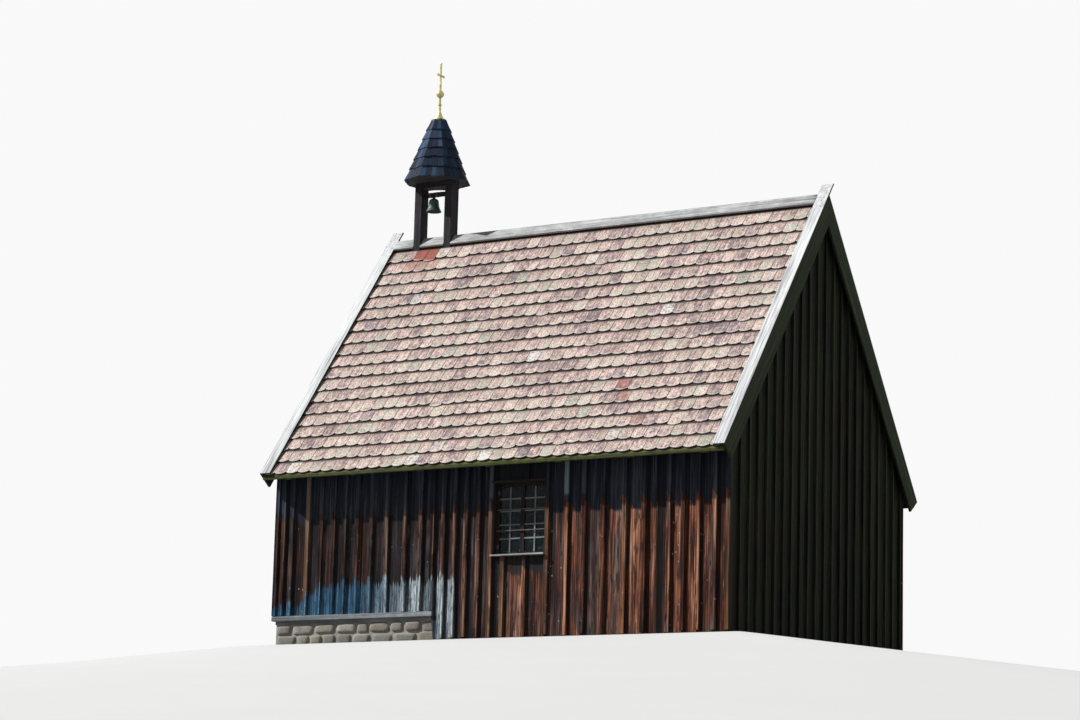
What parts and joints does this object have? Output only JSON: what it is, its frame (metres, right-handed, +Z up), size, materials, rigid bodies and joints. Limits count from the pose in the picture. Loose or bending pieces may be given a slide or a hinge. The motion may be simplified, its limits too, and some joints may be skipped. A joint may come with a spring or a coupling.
{
  "type": "small timber chapel",
  "caption": "Small boarded timber chapel with a low plinth, a steep tiled gable roof, one window in each long wall and an open ridge turret with a swinging bell under a shingled spire.",
  "frame": {"origin": "middle of the plan at the lowest ground, under the middle of the plinth", "axes": "+X along the ridge towards the downhill gable, away from the turret; +Y from the front long wall to the back one; +Z up"},
  "size_m": [6.69, 5.364, 8.1846],
  "materials": {
    "plinth_stone": "rough rubble masonry in lime mortar",
    "inner_timber": "sawn softwood, aged brown",
    "weathered_boards": "sun-burnt vertical boards, black-brown above, red-brown below, grey at the uphill foot",
    "grey_timber": "silver-grey weathered board",
    "eaves_board": "mossy weathered board",
    "roof_tiles": "old red clay tile with lichen",
    "window_timber": "dark stained frame with grey glazing bars",
    "window_glass": "old clear sheet glass",
    "door_timber": "dark weathered planks",
    "turret_timber": "dark grey-brown weathered posts",
    "shingles": "slate-grey weathered wooden shingles",
    "gilding": "dull old gilding",
    "bell_bronze": "dark green bronze patina",
    "bell_iron": "forged iron with rust"
  },
  "bodies": {
    "chapel": {"plinth": "plinth_stone", "ground_sill": "grey_timber", "floor": "inner_timber", "front_wall": "inner_timber", "back_wall": "inner_timber", "left_gable_wall": "inner_timber", "right_gable_wall": "inner_timber", "front_cladding": "weathered_boards", "back_cladding": "weathered_boards", "left_gable_cladding": "weathered_boards", "right_gable_cladding": "weathered_boards", "wall_cover_strips": "weathered_boards", "gable_cover_strips": "weathered_boards", "wall_plates": "inner_timber", "ridge_purlin": "inner_timber", "front_rafters": "inner_timber", "back_rafters": "inner_timber", "front_roof_boarding": "inner_timber", "back_roof_boarding": "inner_timber", "front_roof_tiles": "roof_tiles", "back_roof_tiles": "roof_tiles", "front_fascia": "eaves_board", "back_fascia": "eaves_board", "front_right_verge_board": "grey_timber", "front_left_verge_board": "grey_timber", "back_right_verge_board": "grey_timber", "back_left_verge_board": "grey_timber", "front_ridge_board": "grey_timber", "back_ridge_board": "grey_timber", "front_window_frame": "window_timber", "back_window_frame": "window_timber", "front_window_casements": "window_timber", "back_window_casements": "window_timber", "window_glass": "window_glass", "window_sills": "grey_timber", "door_frame": "door_timber", "door_leaf": "door_timber", "turret_post_left": "turret_timber", "turret_post_right": "turret_timber", "turret_head": "turret_timber", "spire_roof": "shingles", "finial_rod": "gilding", "finial_cross": "gilding"},
    "swinging_bell": {"bell_yoke": "turret_timber", "bell": "bell_bronze", "bell_clapper": "bell_iron", "bell_lever": "bell_iron"},
    "pull_rod": {"bell_pull_rod": "bell_iron"}
  },
  "joints": [
    {"name": "bell_swing", "type": "hinge", "parent": "chapel", "child": "swinging_bell", "pos_m": [-2.57, 0, 6.32959], "axis": [1, 0, 0], "range_deg": [-25, 25]},
    {"name": "pull_rod_hang", "type": "hinge", "parent": "swinging_bell", "child": "pull_rod", "pos_m": [-2.476, 0.06, 6.32959], "axis": [1, 0, 0], "range_deg": [-25, 25]}
  ],
  "couplings": [
    {"joint": "pull_rod_hang", "follows": "bell_swing", "ratio": -1}
  ]
}
